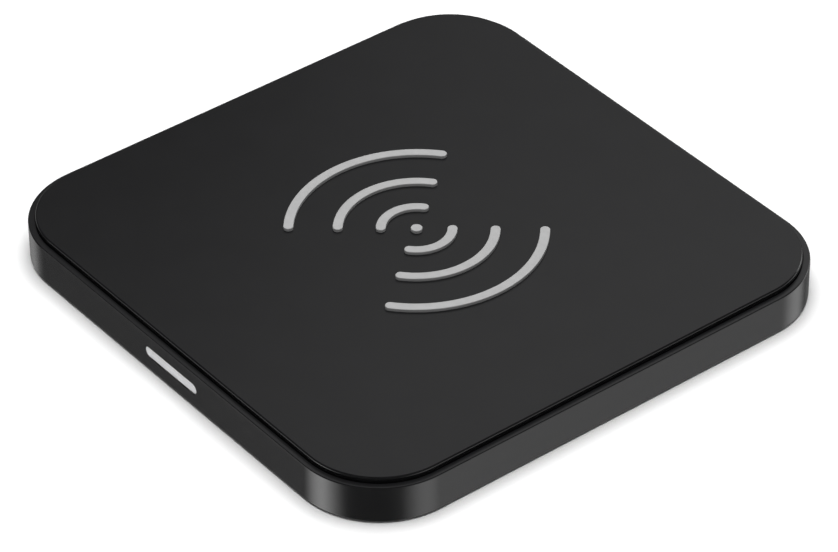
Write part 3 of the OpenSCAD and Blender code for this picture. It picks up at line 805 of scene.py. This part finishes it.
face_z = PORT_Z + TONGUE[1] / 2
contact = block((-CONTACT[0] / 2, back_y, face_z), (CONTACT[0] / 2, back_y + CONTACT[1], face_z + CONTACT[2]))
edit(contact)
pick("EDGE", lambda e: all(v.co.z > face_z + TINY for v in e.verts))
round_off(CONTACT_EDGE, 1)
contact = done()
first = -(CONTACTS - 1) / 2 * CONTACT_PITCH
contact = copies(contact, [(first + i * CONTACT_PITCH, 0) for i in range(CONTACTS)])
edit(contact)
bpy.ops.mesh.select_all(action="SELECT")
bpy.ops.mesh.duplicate()
bpy.ops.transform.rotate(value=math.pi, orient_axis="Y", center_override=(0, 0, PORT_Z))
settle(done(), "socket_contacts", contact_gold, "contact_gold", "usb_c_contacts")


# ---- Circuit board ----
# A green 0.8 mm glass-epoxy board on the base's ribs. Two moulded pins locate it, round
# notches clear the screw pillars, and its tongue reaches back to the socket.

BOARD_R = 1.5 * MM
TAB_HALF = 20 * MM
TAB_ROOT = 30 * MM
NOTCH_R = 3.6 * MM
PIN_HOLE_R = 1.05 * MM
TRACE_W = 0.2 * MM
TRACE_SPAN = 7.0 * MM
TRACE_ROW = TRACE_SPAN / 5

# FR-4 laminate under green solder mask: glossy deep green, with paler tracks of copper
# showing through it and standing up a little
board_laminate, tree, shader = surface("green_masked_laminate", {"IOR": 1.55, "Roughness": 0.3})
place = add(tree, "ShaderNodeTexCoord").outputs["Object"]
tracks = add(
    tree, "ShaderNodeTexBrick",
    {"Vector": place, "Color1": (0, 0, 0, 1), "Color2": (0, 0, 0, 1), "Mortar": (1, 1, 1, 1), "Scale": 1.0,
     "Mortar Size": TRACE_W / 2, "Brick Width": TRACE_SPAN, "Row Height": TRACE_ROW},
).outputs["Color"]
greens = ramp(tree, tracks, [(0.0, linear("#1F5538")), (1.0, linear("#2F7350"))], "LINEAR")
tree.links.new(greens, shader.inputs["Base Color"])
bumps(tree, shader, tracks, 0.03 * MM)

board = round_block(
    (-board_high.x, -board_high.x, board_low.z), (board_high.x, board_high.x, board_high.z), BOARD_R, steps=8
)
carve(board, block((-TAB_HALF, TAB_ROOT, board_low.z), (TAB_HALF, board_high.y, board_high.z)), "UNION")
through = (board_low.z - SINK, board_high.z + SINK)
for x, y in corner_spread(FOOT_AT, FOOT_AT):
    carve(board, rod(NOTCH_R, *through, (x, y)))
for s in (-1, 1):
    carve(board, rod(PIN_HOLE_R, *through, (s * POST_AT[0], s * POST_AT[1])))
gap = SHELL_W / 2 + PORT_CLEAR
carve(board, block(
    (-gap, shell_low.y - PORT_CLEAR, through[0]), (gap, shell_high.y - PORT_CLEAR, through[1])
))
settle(board, "circuit_board", board_laminate, "board_laminate", "main_board")


# ---- Transmitter coil ----
# Ten turns of litz wire on an adhesive film, over a sintered ferrite plate that keeps the
# field out of the board. The inner end drops into a slot in the plate and runs out below.

WIRE_R = 0.565 * MM
WIRE_STEPS = 14
TURN_PITCH = 1.16 * MM
TURNS = 10
LEAD_CLEAR = 0.02 * MM
LEAD_BEND = 0.9 * MM
HALF_TURN_STEPS = 30
BEND_STEPS = 8
STRANDS = 210
STRAND_LAY = 0.6 * MM

# Litz copper wire, enamelled and twisted: dark orange metal under thin lacquer, its fine
# strands running slantwise round the bundle
litz_copper, tree, shader = surface(
    "enamelled_litz_copper", {"Metallic": 1.0, "Roughness": 0.34, "Coat Weight": 0.5, "Coat Roughness": 0.2}
)
shades(tree, shader, grain(tree, 1.0 * MM), "#A4562A", "#BF6A38")
place = add(tree, "ShaderNodeSeparateXYZ", {"Vector": add(tree, "ShaderNodeTexCoord").outputs["Object"]})
bearing = add(tree, "ShaderNodeMath", {0: place.outputs["Y"], 1: place.outputs["X"]}, operation="ARCTAN2")
reach = add(tree, "ShaderNodeVectorMath", {
    0: add(tree, "ShaderNodeCombineXYZ", {"X": place.outputs["X"], "Y": place.outputs["Y"]}).outputs[0],
}, operation="LENGTH")
slant = add(
    tree, "ShaderNodeMath", {0: reach.outputs["Value"], 1: math.tau / STRAND_LAY}, operation="MULTIPLY"
)
twist = add(
    tree, "ShaderNodeMath", {0: bearing.outputs[0], 1: float(STRANDS), 2: slant.outputs[0]},
    operation="MULTIPLY_ADD",
)
strands = add(tree, "ShaderNodeMath", {0: twist.outputs[0]}, operation="SINE")
bumps(tree, shader, strands.outputs[0], 0.03 * MM)

coil_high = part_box("coil_winding")[1]
plate_low, plate_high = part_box("ferrite_shield")
film_low, film_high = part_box("coil_film")
wire_z = coil_high.z - WIRE_R
lead_end = coil_high.y - WIRE_R
outer_r = film_high.x - TURN_PITCH / 2
turn_r = outer_r - TURNS * TURN_PITCH
lead_z = board_high.z + LEAD_CLEAR + WIRE_R
drop_r = (wire_z - lead_z) / 2


def turn(angle, centre, axis, steps):
    """Spins what is picked anticlockwise about an axis."""
    bpy.ops.mesh.spin(steps=steps, angle=-angle, center=centre, axis=axis)


bpy.ops.object.select_all(action="DESELECT")
bpy.ops.mesh.primitive_circle_add(
    vertices=WIRE_STEPS, radius=WIRE_R, location=(turn_r, 0, wire_z), rotation=(math.pi / 2, 0, 0)
)
coil = fixed()
edit(coil)
bpy.ops.mesh.select_all(action="SELECT")
for half_turn in range(2 * TURNS):
    turn(math.pi, (half_turn % 2 * TURN_PITCH / 2, 0, wire_z), (0, 0, 1), HALF_TURN_STEPS)
push(y=lead_end - LEAD_BEND)
turn(-math.pi / 2, (0, lead_end - LEAD_BEND, wire_z - LEAD_BEND), (1, 0, 0), BEND_STEPS)
push(z=board_high.z + LEAD_CLEAR - wire_z + LEAD_BEND)
start = Vector((turn_r, 0, wire_z))
pick("EDGE", lambda e: e.is_boundary and all((v.co - start).length < WIRE_R + TINY for v in e.verts))
turn(math.pi / 2, (0, 0, wire_z - drop_r), (1, 0, 0), BEND_STEPS)
turn(-math.pi / 2, (turn_r + drop_r, 0, wire_z - drop_r), (0, 1, 0), BEND_STEPS)
push(x=coil_high.x - turn_r - drop_r)
pick("EDGE", lambda e: e.is_boundary)
bpy.ops.mesh.fill()
bpy.ops.mesh.select_all(action="SELECT")
bpy.ops.mesh.remove_doubles(threshold=TINY)
bpy.ops.mesh.normals_make_consistent(inside=False)
settle(done(), "litz_winding", litz_copper, "litz_copper", "coil_winding")


# ---- Film, ferrite plate and tape ----
# The winding sticks to a thin clear film with a hole in its middle. Under it lies a
# sintered ferrite plate, held to the board by amber tape, and one slot through all three
# lets the inner lead pass.

FILM_HOLE_R = 10.25 * MM
PLATE_R = 3.0 * MM
PLATE_HOLE_R = 3.0 * MM
PLATE_EDGE = 0.12 * MM
PLATE_STEPS = 8

# Polyester film with acrylic adhesive, calendered: colourless and glossy, so only its
# edge and the light on it show
clear_film, tree, shader = surface(
    "clear_polyester_film", {"IOR": 1.6, "Roughness": 0.12, "Transmission Weight": 0.85}
)
shades(tree, shader, grain(tree, 3.0 * MM), "#EFEBDD", "#F6F3E8")
bumps(tree, shader, grain(tree, 1.5 * MM), 0.01 * MM)

# Manganese zinc ferrite, sintered and ground: dark warm grey, faintly metallic, with the
# short parallel scratches of grinding
ferrite, tree, shader = surface("ground_ferrite", {"IOR": 2.2, "Roughness": 0.45})
shades(tree, shader, grain(tree, 0.4 * MM, 4.0), "#38383A", "#454547")
bumps(tree, shader, grain(tree, 0.08 * MM, 2.0, (0.05, 1, 1)), 0.003 * MM)

# Polyimide tape: a clear amber skin over its adhesive, smooth and glossy with small
# trapped ripples
amber_tape, tree, shader = surface(
    "polyimide_tape", {"IOR": 1.7, "Roughness": 0.18, "Transmission Weight": 0.3}
)
shades(tree, shader, grain(tree, 2.0 * MM), "#B9822B", "#C9923A")
bumps(tree, shader, grain(tree, 1.0 * MM), 0.01 * MM)

tape_low, tape_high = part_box("shield_tape")
slot_half = WIRE_R + LEAD_CLEAR
slot_near = (turn_r - slot_half, -drop_r - slot_half)
slot_far = (plate_high.x + SINK, slot_half)


def slotted(piece, low, high, hole):
    """Cuts the middle hole and the inner lead's slot through a flat piece."""
    carve(piece, rod(hole, low - SINK, high + SINK, steps=64))
    return carve(piece, block((*slot_near, low - SINK), (*slot_far, high + SINK)))


film = rod(film_high.y, film_low.z, film_high.z, ((film_low.x + film_high.x) / 2, 0), steps=96)
film = slotted(film, film_low.z, film_high.z, FILM_HOLE_R)
settle(film, "coil_film_sheet", clear_film, "clear_film", "coil_film")

plate = round_block(plate_low, plate_high, PLATE_R, PLATE_STEPS)
slotted(plate, plate_low.z, plate_high.z, PLATE_HOLE_R)
edit(plate)
pick("EDGE", lambda e: edge_of_top(e, plate_high.z))
round_off(PLATE_EDGE, 2)
settle(done(), "ferrite_plate", ferrite, "ferrite", "ferrite_shield")

tape = round_block(tape_low, tape_high, PLATE_R, PLATE_STEPS)
slotted(tape, tape_low.z, tape_high.z, PLATE_HOLE_R)
settle(tape, "plate_tape", amber_tape, "amber_tape", "shield_tape")


# ---- Temperature sensor ----
# A glass-bead thermistor dipped in epoxy stands on two legs in the middle of the coil,
# close under the cover, and tells the controller how hot the phone's back gets.

LEG_R = 0.15 * MM
BEAD_R = 0.9 * MM

# Epoxy, dipped and cured: glossy red-brown drops with a slightly uneven skin
sensor_epoxy, tree, shader = surface("dipped_epoxy", {"IOR": 1.55, "Roughness": 0.22})
shades(tree, shader, grain(tree, 0.6 * MM), "#6E3520", "#834226")
bumps(tree, shader, grain(tree, 0.8 * MM), 0.02 * MM)

bead_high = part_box("thermistor")[1]
bpy.ops.object.select_all(action="DESELECT")
bpy.ops.mesh.primitive_uv_sphere_add(
    segments=32, ring_count=16, radius=BEAD_R, location=(0, 0, bead_high.z - BEAD_R)
)
bead = fixed()
for s in (-1, 1):
    carve(bead, rod(LEG_R, board_high.z, bead_high.z - BEAD_R, (s * BEAD_R / 2, 0), steps=16), "UNION")
settle(bead, "coil_thermistor", sensor_epoxy, "sensor_epoxy", "thermistor")


# ---- Chips ----
# The controller, the four bridge transistors and the regulator are moulded epoxy bodies
# with tinned pads along their feet. A dimple marks the first pad.

CHIP_EDGE = 0.06 * MM
CHIP_INSET = 10 * TINY
PAD = (0.25 * MM, 0.3 * MM, 0.1 * MM)
DIMPLE_R = 0.22 * MM
DIMPLE_DEPTH = 0.06 * MM
DIMPLE_IN = 3 * DIMPLE_R
FET_SIZE = Vector((3.3 * MM, 3.3 * MM, 0.9 * MM))

# Epoxy moulding compound: matt charcoal, very finely speckled by its silica filler
chip_epoxy, tree, shader = surface("epoxy_moulding_compound", {"IOR": 1.55, "Roughness": 0.55})
shades(tree, shader, grain(tree, 0.1 * MM, 4.0), "#1D1D1F", "#272729")
bumps(tree, shader, grain(tree, 0.06 * MM, 3.0), 0.003 * MM)

# Tin, plated and reflowed: soft bright grey metal with a slightly frosted skin
tinned, tree, shader = surface("reflowed_tin", {"Metallic": 1.0, "Roughness": 0.32})
shades(tree, shader, grain(tree, 0.2 * MM), "#BDBEBF", "#CBCCCC")
bumps(tree, shader, grain(tree, 0.1 * MM), 0.004 * MM)


def painted(piece, *finishes):
    """Gives a piece its materials, in the order of its faces' slots."""
    for finish in finishes:
        piece.data.materials.append(finish)
    return piece


def two_by_two(step):
    """The four places of a block of two rows of two."""
    return [(x, y) for y in (0, step.y) for x in (0, step.x)]


def chip(low, high, pads):
    """A moulded body with a dimple on top, and a row of pads along its two long feet."""
    body = block(low + Vector((CHIP_INSET, CHIP_INSET, 0)), high - Vector((CHIP_INSET, CHIP_INSET, 0)))
    edit(body)
    pick("EDGE", lambda e: any(v.co.z > high.z - TINY for v in e.verts))
    round_off(CHIP_EDGE, 2)
    body = done()
    corner = (low.x + DIMPLE_IN, high.y - DIMPLE_IN)
    carve(body, rod(DIMPLE_R, high.z - DIMPLE_DEPTH, high.z + SINK, corner, steps=24))
    painted(body, chip_epoxy)
    step = (high.x - low.x) / (pads + 1)
    feet = []
    for y in (low.y, high.y - PAD[1]):
        near, far = low.x + step - PAD[0] / 2, low.x + step + PAD[0] / 2
        edit(block((near, y, low.z), (far, y + PAD[1], low.z + PAD[2])))
        pick("EDGE", lambda e: all(v.co.z > low.z + TINY for v in e.verts))
        round_off(PAD[2] / 4, 1)
        feet.append(painted(copies(done(), [(i * step, 0) for i in range(pads)]), tinned))
    return joined([body] + feet)


settle(chip(*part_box("controller_chip"), pads=8), "controller", chip_epoxy, "chip_epoxy", "controller_chip")
settle(chip(*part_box("buck_regulator"), pads=3), "regulator", chip_epoxy, "chip_epoxy", "buck_regulator")
fet_low, fet_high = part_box("bridge_mosfets")
step = fet_high - fet_low - FET_SIZE
bridge = copies(chip(fet_low, fet_low + FET_SIZE, pads=4), two_by_two(step))
settle(bridge, "bridge_transistors", chip_epoxy, "chip_epoxy", "bridge_mosfets")


# ---- Capacitors, resistors and inductor ----
# Ceramic chip parts with a tinned cap over each end, soldered in rows behind the coil.
# The inductor is a square of pressed iron powder with a terminal down each of two sides.

BAND = 0.2
CAP_EDGE = 0.06 * MM
RESONANCE_SIZE = Vector((2.5 * MM, 3.2 * MM, 1.8 * MM))
INPUT_COUNT = 3
INPUT_SIZE = Vector((1.6 * MM, 3.2 * MM, 1.4 * MM))
SMALL_SIZE = Vector((0.8 * MM, 1.6 * MM, 0.5 * MM))
SMALL_COUNT = 5
INDUCTOR_R = 0.8 * MM
INDUCTOR_EDGE = INDUCTOR_R / 5
MARK_R = 2 * DIMPLE_R
MARK_IN = 1.2 * MM
TERMINAL_W = 1.6 * MM

# Barium titanate ceramic, fired: smooth tan brown with a dry half-gloss
chip_ceramic, tree, shader = surface("fired_ceramic", {"IOR": 1.9, "Roughness": 0.4})
shades(tree, shader, grain(tree, 0.4 * MM, 3.0), "#9B7C55", "#AD8C63")
bumps(tree, shader, grain(tree, 0.1 * MM, 3.0), 0.003 * MM)

# Glass glaze over a thick-film resistor: near black and shiny, a little uneven
resistor_glaze, tree, shader = surface("black_glass_glaze", {"IOR": 1.55, "Roughness": 0.2})
shades(tree, shader, grain(tree, 0.5 * MM), "#171719", "#202022")
bumps(tree, shader, grain(tree, 0.5 * MM), 0.01 * MM)

# Iron powder and resin, pressed: dull mid grey with a coarse sparkle of grains
inductor_core, tree, shader = surface("pressed_iron_powder", {"Metallic": 0.3, "Roughness": 0.6})
shades(tree, shader, grain(tree, 0.08 * MM, 4.0), "#434447", "#55565A")
bumps(tree, shader, grain(tree, 0.08 * MM, 3.0), 0.008 * MM)


def capped(low, size, body_finish):
    """A chip part along Y: a body with a rounded metal cap over each end."""
    high = low + size
    thin = CAP_EDGE / 2
    body = block(low + Vector((thin, CAP_EDGE, 0)), high - Vector((thin, CAP_EDGE, thin)))
    painted(body, body_finish)
    ends = []
    for near, far in ((low.y, low.y + BAND * size.y), (high.y - BAND * size.y, high.y)):
        end = block((low.x, near, low.z), (high.x, far, high.z))
        edit(end)
        bpy.ops.mesh.select_all(action="SELECT")
        round_off(CAP_EDGE, 2)
        ends.append(painted(done(), tinned))
    return joined([body] + ends)


low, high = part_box("resonance_capacitors")
step = high - low - RESONANCE_SIZE
settle(
    copies(capped(low, RESONANCE_SIZE, chip_ceramic), two_by_two(step)),
    "resonance_capacitor_block", chip_ceramic, "chip_ceramic", "resonance_capacitors",
)
low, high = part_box("input_capacitors")
step = (high - low - INPUT_SIZE) / (INPUT_COUNT - 1)
settle(
    copies(capped(low, INPUT_SIZE, chip_ceramic), [(i * step.x, 0) for i in range(INPUT_COUNT)]),
    "input_capacitor_row", chip_ceramic, "chip_ceramic", "input_capacitors",
)
low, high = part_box("chip_passives")
step = (high - low - SMALL_SIZE) / (SMALL_COUNT - 1)
settle(
    copies(capped(low, SMALL_SIZE, chip_ceramic), [(i * step.x, 0) for i in range(SMALL_COUNT)]),
    "small_chip_parts", chip_ceramic, "chip_ceramic", "chip_passives",
)
low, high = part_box("sense_resistor")
resistor = capped(low, high - low, resistor_glaze)
settle(resistor, "current_resistor", resistor_glaze, "resistor_glaze", "sense_resistor")

low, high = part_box("buck_inductor")
core = round_block(low, high, INDUCTOR_R, steps=6)
edit(core)
pick("FACE", level(high.z, 1))
round_off(INDUCTOR_EDGE, 3)
core = painted(done(), inductor_core)
middle = (low + high) / 2
mark_at = (low.x + MARK_IN, high.y - MARK_IN)
carve(core, rod(MARK_R, high.z - DIMPLE_DEPTH, high.z + SINK, mark_at, steps=24))
terminals = []
for near, far in ((low.x, low.x + SINK), (high.x - SINK, high.x)):
    terminal = block((near, middle.y - TERMINAL_W / 2, low.z), (far, middle.y + TERMINAL_W / 2, middle.z))
    edit(terminal)
    bpy.ops.mesh.select_all(action="SELECT")
    round_off(CAP_EDGE / 3, 1)
    terminals.append(painted(done(), tinned))
settle(joined([core] + terminals), "power_inductor", inductor_core, "inductor_core", "buck_inductor")


# ---- Status lights ----
# Two side-looking LEDs on the board's front edge, close behind the light guide. Each is
# a white reflector cup filled with resin, and it shines forward.

LIGHT_SIZE = Vector((2.4 * MM, 1.0 * MM, 1.0 * MM))
CUP_WALL = 0.15 * MM
CUP_DEPTH = 0.3 * MM
CUP_TAPER = (0.85, 1, 0.75)

# Polyphthalamide, moulded: bright white and slightly chalky, as a reflector has to be
cup_plastic, tree, shader = surface("white_reflector_plastic", {"IOR": 1.55, "Roughness": 0.5})
shades(tree, shader, grain(tree, 0.2 * MM, 3.0), "#E3E2DC", "#ECEBE6")
bumps(tree, shader, grain(tree, 0.1 * MM), 0.003 * MM)

# Silicone with phosphor, cast: soft yellow and cloudy, with a faint wet sheen
led_resin, tree, shader = surface("phosphor_silicone", {
    "IOR": 1.41, "Roughness": 0.25,
    "Subsurface Weight": 0.3, "Subsurface Radius": (1, 1, 1), "Subsurface Scale": 0.1 * MM,
})
shades(tree, shader, grain(tree, 0.15 * MM), "#DCC767", "#E8D57C")
bumps(tree, shader, grain(tree, 0.4 * MM), 0.01 * MM)

low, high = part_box("status_leds")
cup = block(low, low + LIGHT_SIZE)
edit(cup)
pick("FACE", lambda f: f.normal.y < -FACING)
bpy.ops.mesh.inset(thickness=CUP_WALL)
push(y=CUP_DEPTH)
bpy.ops.transform.resize(value=CUP_TAPER)
pick("EDGE", lambda e: all(v.co.y > low.y + LIGHT_SIZE.y - TINY for v in e.verts))
round_off(CUP_WALL / 2, 2)
cup = painted(done(), cup_plastic)
resin_low = low + Vector((CUP_WALL, CUP_DEPTH / 3, CUP_WALL))
resin_high = low + LIGHT_SIZE - Vector((CUP_WALL, LIGHT_SIZE.y / 2, CUP_WALL))
edit(block(resin_low, resin_high))
pick("FACE", lambda f: f.normal.y < -FACING)
bpy.ops.mesh.inset(thickness=CUP_WALL)
bpy.ops.transform.translate(value=(0, -CUP_DEPTH / 6, 0))
resin = painted(done(), led_resin)
lights = copies(joined([cup, resin]), [(0, 0), ((high - low - LIGHT_SIZE).x, 0)])
settle(lights, "status_lights", led_resin, "led_resin", "status_leds")
